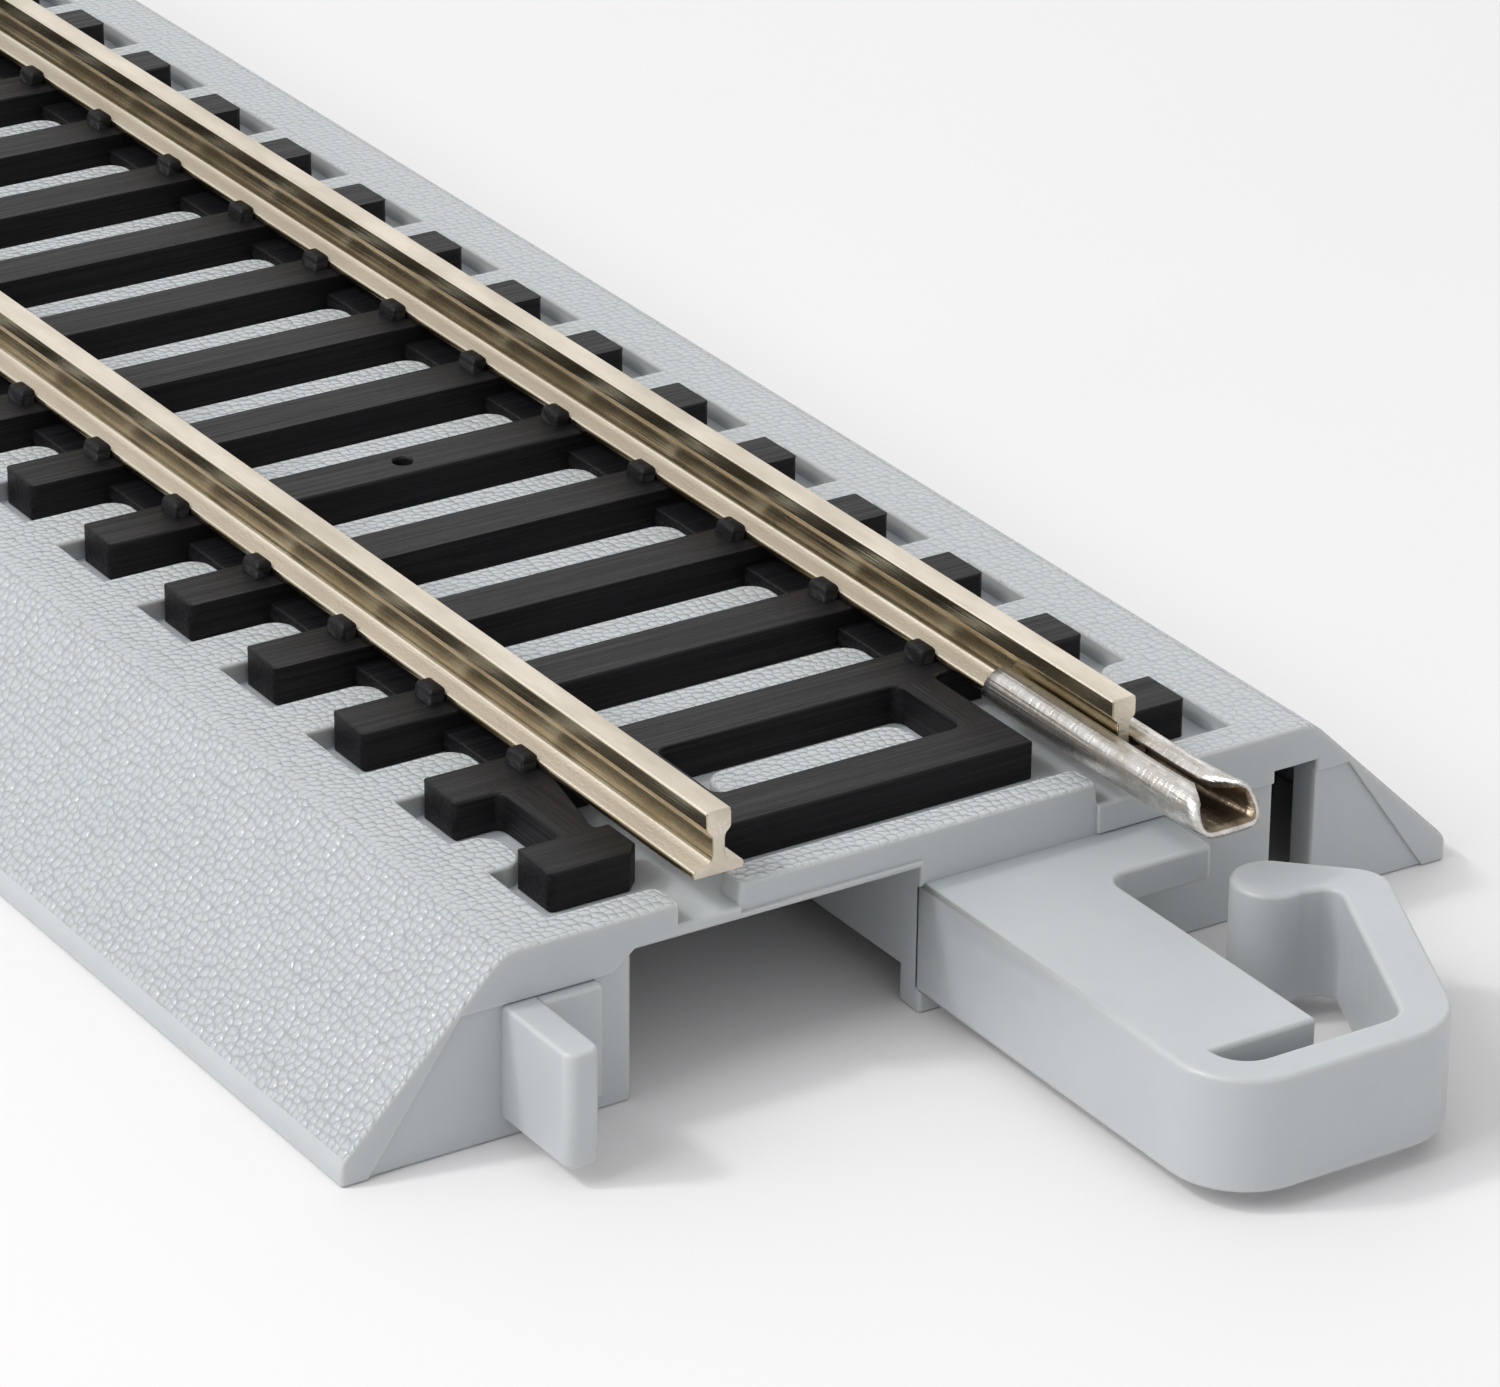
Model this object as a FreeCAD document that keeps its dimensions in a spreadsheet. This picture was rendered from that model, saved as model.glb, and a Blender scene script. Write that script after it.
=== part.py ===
import FreeCAD, Part
import os
import re
import Sketcher

# Snap-together roadbed track section, straight, millimetres.
# X runs along the track, Z is up, the underside rests on Z = 0 and the
# section is centred on the origin. The two ends are the same piece of
# geometry turned half a turn about Z.

SIZES = [
    ("section_length", 228.6, "between the two end faces"),
    ("gauge", 16.5, "between the inner faces of the rail heads"),
    ("rail_height", 2.54, "foot to head"),
    ("head_width", 1.07, ""),
    ("head_side", 1.88, "height where the head side starts"),
    ("head_under", 1.62, "height where the web meets the head"),
    ("head_bevel", 0.18, "bevel of the running edges"),
    ("foot_width", 2.16, ""),
    ("foot_edge", 0.30, "thickness of the foot at its edge"),
    ("foot_crown", 0.74, "height where the foot meets the web"),
    ("web_width", 0.55, ""),
    ("plate_low", 6.12, "underside of the deck"),
    ("plate_top", 6.62, "floor the tie strip rests on"),
    ("crest_height", 7.50, "top of the moulded ballast"),
    ("crest_half", 17.65, "half width across the crest"),
    ("toe_half", 24.30, "half width at the foot of the slope"),
    ("toe_height", 1.00, "upright edge at the foot of the slope"),
    ("crest_round", 1.50, "rounding between crest and slope"),
    ("hollow_low_half", 23.26, "half width of the hollow at the bottom"),
    ("hollow_top_half", 17.10, "half width of the hollow under the deck"),
    ("end_wall", 1.50, "thickness of the end walls"),
    ("trough_half", 14.90, "half width of the recess for the ties"),
    ("tie_number", 34, ""),
    ("first_tie", 4.30, "end face to the centre of the last tie"),
    ("tie_width", 2.44, ""),
    ("tie_half", 13.92, "half length of a tie"),
    ("tie_top", 8.20, "the rails rest at this height"),
    ("island_front", 1.42, "tie to the next ballast island"),
    ("island_back", 0.10, "tie to the ballast island behind it"),
    ("island_half", 6.80, "half length of the islands between the rails"),
    ("island_outer", 10.65, "inner end of the islands outside the rails"),
    ("island_round", 1.00, "corner radius of the islands"),
    ("short_half", 4.35, "half length of the first and last island"),
    ("short_outer", 13.25, "inner end of the first outer islands"),
    ("block_depth", 1.60, "depth of the ballast blocks at the ends"),
    ("block_half", 7.80, "half width of the middle end block"),
    ("block_outer", 10.40, "inner end of the outer end blocks"),
    ("block_round", 0.40, "corner radius of the end blocks"),
    ("lip_top", 6.38, "thin lip of the deck below the middle end block"),
    ("stringer_near", 7.08, "inner edge of the strip under a rail"),
    ("stringer_far", 10.48, "outer edge of the strip under a rail"),
    ("stringer_top", 7.50, ""),
    ("inner_half", 6.93, "half length of the cut middle of an end tie"),
    ("inner_bar", 5.40, "inner edge of the bars inside the rails"),
    ("stub_start", 10.45, "inner end of the outer stubs"),
    ("outer_bar", 12.00, "outer edge of the bars outside the rails"),
    ("stub_near", 9.98, "the stub beside a bare rail end comes this close"),
    ("stub_chamfer", 0.60, "its cut corner"),
    ("bar_near", 9.68, "wide end of the slanted bar beside a bare rail end"),
    ("bar_far", 10.67, "narrow end of that bar"),
    ("spike_gap", 0.03, "rail foot to spike head"),
    ("spike_width", 0.68, ""),
    ("spike_length", 1.20, ""),
    ("spike_height", 0.60, ""),
    ("spike_shift", 0.30, "spike centre behind the tie centre"),
    ("nail_tie", 5, "ties between the end tie and a nail mark"),
    ("nail_radius", 0.40, ""),
    ("nail_depth", 0.35, ""),
    ("mouth_left", 12.33, "side of the opening that takes the next hook"),
    ("hook_side", 0.05, "centre line to the side of the hook"),
    ("slot_near", 15.95, "slot for the tab of the next section"),
    ("slot_far", 17.85, ""),
    ("slot_top", 5.87, ""),
    ("recess_depth", 0.15, "end face behind its rim"),
    ("recess_top", 5.42, ""),
    ("recess_step", 13.20, "where the recess steps up to the deck"),
    ("rim_top_half", 19.40, ""),
    ("catch_length", 4.60, "side wall the latch of the next hook grips"),
    ("catch_width", 1.45, ""),
    ("guide_length", 30.0, "side wall that guides the next hook"),
    ("guide_width", 1.30, ""),
    ("guide_low", 1.50, ""),
    ("hook_low", 0.85, "underside of hook and tab"),
    ("hook_top", 5.38, "top of hook and tab"),
    ("tongue_low", 3.95, "underside of the tongue plate"),
    ("hook_reach", 18.50, "end face to the front of the hook"),
    ("hook_bar", 1.55, "thickness of the front bar"),
    ("arm_width", 1.55, "thickness of the straight arm"),
    ("hook_round", 3.00, "outer corner radius of the hook"),
    ("hook_inner_round", 1.40, ""),
    ("tongue_reach", 15.60, ""),
    ("tongue_side", 6.13, ""),
    ("shelf_reach", 2.84, ""),
    ("shelf_side", 11.00, ""),
    ("notch_round", 0.90, ""),
    ("shelf_round", 0.30, ""),
    ("tab_reach", 4.40, ""),
    ("tab_near", 16.30, ""),
    ("tab_far", 17.70, ""),
    ("tab_round", 0.50, ""),
    ("pad_depth", 0.40, "thick spot of the end wall beside the tab"),
    ("pad_near", 13.80, ""),
    ("pad_top", 5.35, ""),
    ("flex_side", 6.00, "where the front bar of the hook gives way"),
    ("flex_gap", 0.10, "clearance round the flexing point"),
    ("latch_bend_side", 10.33, "front bar to slanted arm, outside"),
    ("latch_bend_inner", 8.85, "front bar to slanted arm, inside"),
    ("latch_back", 7.75, "outer back corner of the latch"),
    ("latch_back_side", 15.15, ""),
    ("latch_neck", 7.90, "inner back corner of the latch"),
    ("latch_neck_side", 12.90, ""),
    ("tip_place", 6.05, "centre of the round latch tip"),
    ("tip_side", 11.20, ""),
    ("tip_radius", 1.50, ""),
    ("tip_outer", 4.88, "where the outer side meets the tip"),
    ("tip_outer_side", 12.14, ""),
    ("tip_inner", 7.50, "where the inner side meets the tip"),
    ("tip_inner_side", 11.55, ""),
    ("latch_back_round", 1.50, ""),
    ("latch_inner_round", 1.20, ""),
    ("neck_round", 0.60, ""),
    ("joiner_sheet", 0.20, "sheet thickness"),
    ("joiner_gap", 0.06, "rail foot to joiner"),
    ("joiner_lip", 0.36, "centre of the rail to the edge of the lip"),
    ("joiner_height", 1.18, "top of the folded lips"),
    ("joiner_fold", 0.30, "slant between the walls and the lips"),
    ("joiner_on_rail", 7.40, ""),
    ("joiner_out", 6.50, ""),
    ("joiner_cut", 1.20, "slope of the open end"),
    ("joiner_back_cut", 0.50, "slope of the other end"),
    ("weld", 0.10, "how far joined features reach into each other"),
]

doc = FreeCAD.newDocument("TrackSection")
sheet = doc.addObject("Spreadsheet::Sheet", "Params")
for row, (word, number, note) in enumerate(SIZES, start=1):
    sheet.set(f"A{row}", word)
    sheet.set(f"B{row}", str(number))
    sheet.set(f"C{row}", note)
    sheet.setAlias(f"B{row}", word)
doc.recompute()


def bound(text):
    """The expression with every size looked up in the sheet."""
    return re.sub(r"[a-z_]{4,}", lambda found: "Params." + found.group(0), text)


def amount(text):
    """The present value of an expression."""
    return float(sheet.evalExpression(bound(text)))


END = "section_length / 2"
PITCH = "(section_length - 2 * first_tie) / (tie_number - 1)"
LAST_TIE = "section_length / 2 - first_tie"
RAIL_SIDE = "gauge / 2 + head_width / 2"


def new_body(label):
    body = doc.addObject("PartDesign::Body", label)
    body.Label = label
    return body


def origin_part(body, role):
    return next(f for f in body.Origin.OriginFeatures if f.Role == role)


def new_sketch(body, name, role, level=None):
    """A sketch on one of the body's own planes, raised by an expression."""
    sketch = body.newObject("Sketcher::SketchObject", name)
    sketch.AttachmentSupport = [(origin_part(body, role), "")]
    sketch.MapMode = "FlatFace"
    if level:
        sketch.setExpression("AttachmentOffset.Base.z", bound(level))
    return sketch


def fix_point(sketch, line, end, across, up):
    """Ties the end of a line to two sizes measured from the origin."""
    for kind, text in (("DistanceX", across), ("DistanceY", up)):
        rule = Sketcher.Constraint(kind, -1, 1, line, end, amount(text))
        index = sketch.addConstraint(rule)
        sketch.setExpression(f"Constraints[{index}]", bound(text))


def outline(sketch, points):
    """A closed outline through points given as pairs of expressions."""
    spots = [FreeCAD.Vector(amount(a), amount(b), 0) for a, b in points]
    count = len(spots)
    first = sketch.GeometryCount
    for i in range(count):
        sketch.addGeometry(Part.LineSegment(spots[i], spots[(i + 1) % count]))
    for i in range(count):
        after = first + (i + 1) % count
        sketch.addConstraint(Sketcher.Constraint("Coincident", first + i, 2, after, 1))
    for i, (across, up) in enumerate(points):
        fix_point(sketch, first + i, 1, across, up)


def box(sketch, left, right, low, high):
    outline(sketch, [(left, low), (right, low), (right, high), (left, high)])


def round_box(sketch, left, right, low, high, radius, corners):
    """A box with some corners rounded; corners are numbered 0 to 3 from
    the lower left, going round."""
    x1, x2, y1, y2 = amount(left), amount(right), amount(low), amount(high)
    turn = amount(radius)
    cut = [turn if i in corners else 0 for i in range(4)]
    first = sketch.GeometryCount
    ends = [
        ((x1 + cut[0], y1), (x2 - cut[1], y1)),
        ((x2, y1 + cut[1]), (x2, y2 - cut[2])),
        ((x2 - cut[2], y2), (x1 + cut[3], y2)),
        ((x1, y2 - cut[3]), (x1, y1 + cut[0])),
    ]
    for a, b in ends:
        start = FreeCAD.Vector(a[0], a[1], 0)
        stop = FreeCAD.Vector(b[0], b[1], 0)
        sketch.addGeometry(Part.LineSegment(start, stop))
    centres = [
        (x1 + turn, y1 + turn),
        (x2 - turn, y1 + turn),
        (x2 - turn, y2 - turn),
        (x1 + turn, y2 - turn),
    ]
    quarter = 3.141592653589793 / 2
    for i in range(4):
        before = first + (i - 1) % 4
        if i in corners:
            middle = FreeCAD.Vector(centres[i][0], centres[i][1], 0)
            circle = Part.Circle(middle, FreeCAD.Vector(0, 0, 1), turn)
            arc = Part.ArcOfCircle(circle, (i + 2) * quarter, (i + 3) * quarter)
            at = sketch.addGeometry(arc)
            sketch.addConstraint(Sketcher.Constraint("Tangent", before, 2, at, 1))
            sketch.addConstraint(Sketcher.Constraint("Tangent", at, 2, first + i, 1))
            index = sketch.addConstraint(Sketcher.Constraint("Radius", at, turn))
            sketch.setExpression(f"Constraints[{index}]", bound(radius))
        else:
            rule = Sketcher.Constraint("Coincident", before, 2, first + i, 1)
            sketch.addConstraint(rule)
    sides = [
        ("Horizontal", "DistanceY", first, low),
        ("Vertical", "DistanceX", first + 1, right),
        ("Horizontal", "DistanceY", first + 2, high),
        ("Vertical", "DistanceX", first + 3, left),
    ]
    for lie, kind, line, text in sides:
        sketch.addConstraint(Sketcher.Constraint(lie, line))
        rule = Sketcher.Constraint(kind, -1, 1, line, 1, amount(text))
        index = sketch.addConstraint(rule)
        sketch.setExpression(f"Constraints[{index}]", bound(text))


def round_spot(sketch, across, up, radius):
    """A full circle placed and sized by expressions."""
    middle = FreeCAD.Vector(amount(across), amount(up), 0)
    circle = Part.Circle(middle, FreeCAD.Vector(0, 0, 1), amount(radius))
    at = sketch.addGeometry(circle)
    fix_point(sketch, at, 3, across, up)
    index = sketch.addConstraint(Sketcher.Constraint("Radius", at, amount(radius)))
    sketch.setExpression(f"Constraints[{index}]", bound(radius))


def pad(body, name, sketch, length, midplane=False):
    feature = body.newObject("PartDesign::Pad", name)
    feature.Profile = sketch
    feature.Midplane = midplane
    feature.setExpression("Length", bound(length))
    sketch.Visibility = False
    doc.recompute()
    return feature


def pocket(body, name, sketch, length, midplane=False):
    before = body.Shape.Volume
    feature = body.newObject("PartDesign::Pocket", name)
    feature.Profile = sketch
    feature.Midplane = midplane
    feature.setExpression("Length", bound(length))
    sketch.Visibility = False
    doc.recompute()
    assert body.Shape.Volume < before, name + " removes nothing"
    return feature


def row_of(body, name, features, count, length):
    """A row of copies towards -X."""
    row = body.newObject("PartDesign::LinearPattern", name)
    row.Originals = features
    row.Direction = (origin_part(body, "X_Axis"), [""])
    row.Reversed = True
    row.setExpression("Length", bound(length))
    row.setExpression("Occurrences", bound(count))
    body.Tip = row
    doc.recompute()
    return row


def both_ends(body, name, features):
    """The same features again at the other end, half a turn about Z."""
    turn = body.newObject("PartDesign::PolarPattern", name)
    turn.Originals = features
    turn.Axis = (origin_part(body, "Z_Axis"), [""])
    turn.Angle = 360
    turn.Occurrences = 2
    body.Tip = turn
    doc.recompute()
    return turn


def upright_edges(shape, spots):
    """Names of the upright edges that stand at the given X, Y spots."""
    names = []
    for number, edge in enumerate(shape.Edges, start=1):
        if len(edge.Vertexes) != 2:
            continue
        a, b = edge.Vertexes[0].Point, edge.Vertexes[1].Point
        if abs(a.x - b.x) > 0.001 or abs(a.y - b.y) > 0.001:
            continue
        for x, y in spots:
            if abs(a.x - x) < 0.02 and abs(a.y - y) < 0.02:
                names.append(f"Edge{number}")
    return names


def soften(body, name, radius, spots):
    """Rounds the upright edges at the given spots."""
    base = body.Tip
    names = upright_edges(base.Shape, spots)
    assert names, name + " finds no edge"
    feature = body.newObject("PartDesign::Fillet", name)
    feature.Base = (base, names)
    feature.setExpression("Radius", bound(radius))
    body.Tip = feature
    doc.recompute()
    return feature


def round_crest(body, name, radius, across, up):
    """Rounds the two edges along X at a distance to either side."""
    base = body.Tip
    side, height = amount(across), amount(up)
    names = []
    for number, edge in enumerate(base.Shape.Edges, start=1):
        ends = [vertex.Point for vertex in edge.Vertexes]
        if abs(ends[0].x - ends[-1].x) < 1:
            continue
        if all(abs(abs(p.y) - side) < 0.01 and abs(p.z - height) < 0.01 for p in ends):
            names.append(f"Edge{number}")
    assert len(names) == 2, name + " finds the wrong edges"
    feature = body.newObject("PartDesign::Fillet", name)
    feature.Base = (base, names)
    feature.setExpression("Radius", bound(radius))
    body.Tip = feature
    doc.recompute()
    return feature


def twice(*spots):
    """Spots given as expressions, and the same spots at the other end."""
    here = [(amount(x), amount(y)) for x, y in spots]
    return here + [(-x, -y) for x, y in here]


# ---------------------------------------------------------------- roadbed
roadbed = new_body("roadbed")

shell = new_sketch(roadbed, "ShellOutline", "YZ_Plane")
outline(shell, [
    ("-toe_half", "0"),
    ("toe_half", "0"),
    ("toe_half", "toe_height"),
    ("crest_half", "crest_height"),
    ("-crest_half", "crest_height"),
    ("-toe_half", "toe_height"),
])
pad(roadbed, "Shell", shell, "section_length", midplane=True)
round_crest(roadbed, "CrestEdges", "crest_round", "crest_half", "crest_height")

hollow = new_sketch(roadbed, "HollowOutline", "YZ_Plane")
outline(hollow, [
    ("-hollow_low_half", "0"),
    ("hollow_low_half", "0"),
    ("hollow_top_half", "plate_low"),
    ("-hollow_top_half", "plate_low"),
])
pocket(roadbed, "Hollow", hollow, "section_length - 2 * end_wall", midplane=True)

trough = new_sketch(roadbed, "TroughOutline", "XY_Plane", "crest_height")
box(trough, "-" + END, END, "-trough_half", "trough_half")
pocket(roadbed, "Trough", trough, "crest_height - plate_top")

ISLAND_RISE = "crest_height - plate_top"
TIE_FACE = LAST_TIE + " - tie_width / 2"
ISLAND_START = TIE_FACE + " - island_back"
ISLAND_END = LAST_TIE + " - " + PITCH + " + tie_width / 2 + island_front"
NEXT_START = ISLAND_START + " - " + PITCH
NEXT_END = ISLAND_END + " - " + PITCH
islands = new_sketch(roadbed, "IslandOutlines", "XY_Plane", "plate_top")
round_box(islands, NEXT_END, NEXT_START, "-island_half", "island_half",
          "island_round", (0, 1, 2, 3))
round_box(islands, NEXT_END, NEXT_START, "island_outer", "trough_half",
          "island_round", (0, 1))
round_box(islands, NEXT_END, NEXT_START, "-trough_half", "-island_outer",
          "island_round", (2, 3))
island = pad(roadbed, "Islands", islands, ISLAND_RISE)
row_of(roadbed, "IslandRow", [island], "tie_number - 3",
       "(tie_number - 4) * " + PITCH)

short = new_sketch(roadbed, "ShortIslandOutlines", "XY_Plane", "plate_top")
round_box(short, ISLAND_END, ISLAND_START, "-short_half", "short_half",
          "island_round", (0, 1, 2, 3))
round_box(short, ISLAND_END, ISLAND_START, "short_outer", "trough_half",
          "island_round", (0, 1))
round_box(short, ISLAND_END, ISLAND_START, "-trough_half", "-short_outer",
          "island_round", (2, 3))
round_box(short, END + " - block_depth", END + " - recess_depth",
          "-block_half", "block_half", "block_round", (0, 3))
round_box(short, END + " - block_depth", END,
          "block_outer", "trough_half", "block_round", (0,))
round_box(short, END + " - block_depth", END,
          "-trough_half", "-block_outer", "block_round", (3,))
blocks = pad(roadbed, "ShortIslands", short, ISLAND_RISE)

mouth = new_sketch(roadbed, "MouthOutline", "YZ_Plane", END)
box(mouth, "-mouth_left", "hook_side", "0", "plate_low")
mouth_cut = pocket(roadbed, "Mouth", mouth, "2 * end_wall")

slot = new_sketch(roadbed, "SlotOutline", "YZ_Plane", END)
box(slot, "slot_near", "slot_far", "0", "slot_top")
slot_cut = pocket(roadbed, "Slot", slot, "2 * end_wall")

rim = new_sketch(roadbed, "RimOutline", "YZ_Plane", END)
outline(rim, [
    ("-hollow_low_half", "0"),
    ("-mouth_left", "0"),
    ("-mouth_left", "plate_low"),
    ("-recess_step", "recess_top"),
    ("-rim_top_half", "recess_top"),
])
outline(rim, [
    ("hook_side", "0"),
    ("hollow_low_half", "0"),
    ("rim_top_half", "recess_top"),
    ("block_half", "recess_top"),
    ("block_half", "crest_height"),
    ("-block_half", "crest_height"),
    ("-block_half", "lip_top"),
    ("hook_side", "lip_top"),
])
rim_cut = pocket(roadbed, "Rim", rim, "recess_depth")

catch = new_sketch(roadbed, "CatchOutline", "XY_Plane")
box(catch, END + " - catch_length", END + " - recess_depth",
    "-mouth_left - catch_width", "-mouth_left")
catch_wall = pad(roadbed, "Catch", catch, "plate_low + weld")

guide = new_sketch(roadbed, "GuideOutline", "XY_Plane", "guide_low")
box(guide, END + " - guide_length", END + " - end_wall",
    "hook_side", "hook_side + guide_width")
guide_wall = pad(roadbed, "Guide", guide, "plate_low - guide_low + weld")

thick = new_sketch(roadbed, "PadOutline", "XY_Plane", "hook_low")
box(thick, END + " - end_wall", END + " + pad_depth",
    "-tab_near - weld", "-pad_near")
thick_spot = pad(roadbed, "ThickSpot", thick, "pad_top - hook_low")

tab = new_sketch(roadbed, "TabOutline", "XY_Plane", "hook_low")
box(tab, END + " - end_wall", END + " + tab_reach", "-tab_far", "-tab_near")
tab_plate = pad(roadbed, "Tab", tab, "hook_top - hook_low")

arm_side = "hook_side + arm_width"
front = END + " + hook_reach"
arm = new_sketch(roadbed, "ArmOutline", "XY_Plane", "hook_low")
outline(arm, [
    (END + " - end_wall", "hook_side"),
    (front, "hook_side"),
    (front, "flex_side"),
    (front + " - hook_bar", "flex_side"),
    (front + " - hook_bar", arm_side),
    (END + " - end_wall", arm_side),
])
hook_arm = pad(roadbed, "HookArm", arm, "hook_top - hook_low")

tongue = new_sketch(roadbed, "TongueOutline", "XY_Plane", "tongue_low")
outline(tongue, [
    (END + " - end_wall", "hook_side"),
    (END + " + tongue_reach", "hook_side"),
    (END + " + tongue_reach", "tongue_side"),
    (END + " + shelf_reach", "tongue_side"),
    (END + " + shelf_reach", "shelf_side"),
    (END + " - end_wall", "shelf_side"),
])
tongue_plate = pad(roadbed, "Tongue", tongue, "hook_top - tongue_low")

seat = new_sketch(roadbed, "SeatOutline", "XY_Plane", "hook_top")
round_spot(seat, front + " - hook_bar / 2", "flex_side", "hook_bar / 2 + flex_gap")
seat_cut = pocket(roadbed, "Seat", seat, "hook_top - hook_low")

both_ends(roadbed, "OtherEnd", [
    blocks, mouth_cut, slot_cut, rim_cut, catch_wall, guide_wall,
    thick_spot, tab_plate, hook_arm, tongue_plate, seat_cut,
])
soften(roadbed, "HookCorner", "hook_round", twice((front, "hook_side")))
soften(roadbed, "HookInside", "hook_inner_round",
       twice((front + " - hook_bar", arm_side)))
soften(roadbed, "Notch", "notch_round",
       twice((END + " + shelf_reach", "tongue_side")))
soften(roadbed, "ShelfCorner", "shelf_round",
       twice((END + " + shelf_reach", "shelf_side")))
soften(roadbed, "TabNose", "tab_round",
       twice((END + " + tab_reach", "-tab_far"), (END + " + tab_reach", "-tab_near")))

# -------------------------------------------------------------- tie strip
ties = new_body("tie_strip")
TIE_RISE = "tie_top - plate_top"
SECOND_TIE = LAST_TIE + " - " + PITCH
SECOND_FACE = SECOND_TIE + " + tie_width / 2"

strips = new_sketch(ties, "StringerOutlines", "XY_Plane", "plate_top")
box(strips, "-(" + SECOND_TIE + ")", SECOND_TIE, "stringer_near", "stringer_far")
box(strips, "-(" + SECOND_TIE + ")", SECOND_TIE, "-stringer_far", "-stringer_near")
pad(ties, "Stringers", strips, "stringer_top - plate_top")

tie = new_sketch(ties, "TieOutline", "XY_Plane", "plate_top")
box(tie, SECOND_TIE + " - tie_width / 2", SECOND_FACE, "-tie_half", "tie_half")
tie_block = pad(ties, "Tie", tie, TIE_RISE)
row_of(ties, "TieRow", [tie_block], "tie_number - 2", "(tie_number - 3) * " + PITCH)

FOOT_OUT = RAIL_SIDE + " + foot_width / 2 + spike_gap"
FOOT_IN = RAIL_SIDE + " - foot_width / 2 - spike_gap"
SPIKE_MID = SECOND_TIE + " - spike_shift"
spikes = new_sketch(ties, "SpikeOutlines", "XY_Plane", "tie_top")
for near, far in (
    (FOOT_OUT, FOOT_OUT + " + spike_width"),
    (FOOT_IN + " - spike_width", FOOT_IN),
    ("-(" + FOOT_OUT + " + spike_width)", "-(" + FOOT_OUT + ")"),
    ("-(" + FOOT_IN + ")", "-(" + FOOT_IN + " - spike_width)"),
):
    box(spikes, SPIKE_MID + " - spike_length / 2", SPIKE_MID + " + spike_length / 2",
        near, far)
spike = pad(ties, "Spikes", spikes, "spike_height")
row_of(ties, "SpikeRow", [spike], "tie_number - 2", "(tie_number - 3) * " + PITCH)

TIE_FRONT = LAST_TIE + " + tie_width / 2"
cut_tie = new_sketch(ties, "EndTieOutlines", "XY_Plane", "plate_top")
outline(cut_tie, [
    (TIE_FACE, "-inner_half"),
    (TIE_FRONT, "-inner_half"),
    (TIE_FRONT, "inner_half"),
    (TIE_FACE, "inner_half"),
])
box(cut_tie, TIE_FACE, TIE_FRONT, "stub_start", "tie_half")
outline(cut_tie, [
    (TIE_FACE, "-tie_half"),
    (TIE_FRONT, "-tie_half"),
    (TIE_FRONT, "-stub_near - stub_chamfer"),
    (TIE_FRONT + " - stub_chamfer", "-stub_near"),
    (TIE_FACE, "-stub_near"),
])
end_tie = pad(ties, "EndTie", cut_tie, TIE_RISE)

bars = new_sketch(ties, "BarOutlines", "XY_Plane", "plate_top")
BAR_START = SECOND_FACE + " - weld"
BAR_END = TIE_FACE + " + weld"
box(bars, BAR_START, BAR_END, "inner_bar", "inner_half")
box(bars, BAR_START, BAR_END, "-inner_half", "-inner_bar")
box(bars, BAR_START, BAR_END, "stub_start", "outer_bar")
outline(bars, [
    (BAR_START, "-outer_bar"),
    (BAR_END, "-outer_bar"),
    (BAR_END, "-bar_far"),
    (BAR_START, "-bar_near"),
])
bar = pad(ties, "Bars", bars, TIE_RISE)

nail = new_sketch(ties, "NailOutline", "XY_Plane", "tie_top")
round_spot(nail, LAST_TIE + " - nail_tie * " + PITCH, "0", "nail_radius")
nail_mark = pocket(ties, "NailMark", nail, "nail_depth")
both_ends(ties, "OtherEndTie", [end_tie, bar, nail_mark])


# ------------------------------------------------------------------ rails
def rail(label, side):
    body = new_body(label)
    section = new_sketch(body, label + "_section", "YZ_Plane")
    right = [
        ("foot_width / 2", "0"),
        ("foot_width / 2", "foot_edge"),
        ("web_width / 2", "foot_crown"),
        ("web_width / 2", "head_under"),
        ("head_width / 2", "head_side"),
        ("head_width / 2", "rail_height - head_bevel"),
        ("head_width / 2 - head_bevel", "rail_height"),
    ]
    left = [("-(" + across + ")", up) for across, up in reversed(right)]
    outline(section, right + left)
    pad(body, label + "_bar", section, "section_length", midplane=True)
    body.setExpression("Placement.Base.y", bound(side))
    body.setExpression("Placement.Base.z", bound("tie_top"))
    doc.recompute()
    return body


rail_left = rail("rail_left", RAIL_SIDE)
rail_right = rail("rail_right", "-(" + RAIL_SIDE + ")")


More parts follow.
